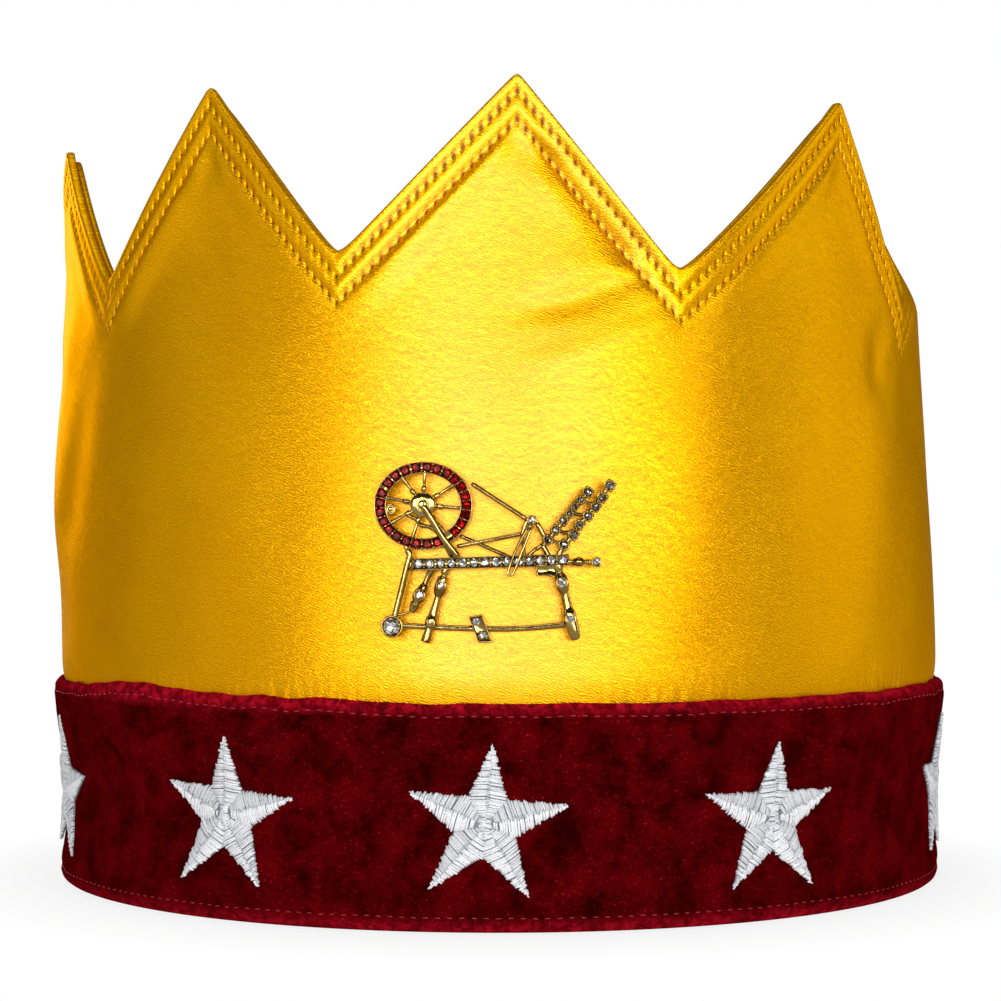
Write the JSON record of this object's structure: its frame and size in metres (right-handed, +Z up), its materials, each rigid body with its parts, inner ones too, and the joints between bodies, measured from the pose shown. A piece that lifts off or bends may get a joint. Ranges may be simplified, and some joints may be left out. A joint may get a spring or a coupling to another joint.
{
  "type": "masonic crown",
  "caption": "Soft satin crown with tall stitched points, a velvet band with embroidered stars and a jewelled spinning wheel brooch on the front.",
  "frame": {"origin": "middle of the head opening, on the surface that the band's bottom edge rests on", "axes": "+Z up through the open top, -Y towards the front with the brooch, +X to the picture's right"},
  "size_m": [0.1942, 0.1957, 0.1619],
  "materials": {
    "satin": "satin",
    "satin_lining": "satin",
    "velvet": "matte",
    "star_thread": "satin",
    "gold_metal": "polished",
    "pin_metal": "satin",
    "red_glass": "polished",
    "clear_glass": "polished"
  },
  "bodies": {
    "root": {"satin_wall": "satin", "satin_lining": "satin_lining", "velvet_band": "velvet", "star_1": "star_thread", "star_2": "star_thread", "star_3": "star_thread", "star_4": "star_thread", "star_5": "star_thread", "star_6": "star_thread", "star_7": "star_thread", "star_8": "star_thread", "star_9": "star_thread", "star_10": "star_thread", "brooch_frame": "gold_metal", "brooch_pin": "pin_metal", "wheel_stones": "red_glass", "table_stones": "clear_glass", "flax_stones_left": "clear_glass", "flax_stones_right": "clear_glass", "treadle_bearing_stone": "clear_glass", "post_stone": "clear_glass", "handle_stone": "clear_glass", "treadle_stone_top": "clear_glass", "treadle_stone_bottom": "clear_glass", "front_leg_stone_top": "clear_glass", "front_leg_stone_bottom": "clear_glass", "rear_leg_stone": "clear_glass", "end_leg_stone_top": "clear_glass", "end_leg_stone_bottom": "clear_glass"}
  },
  "joints": []
}
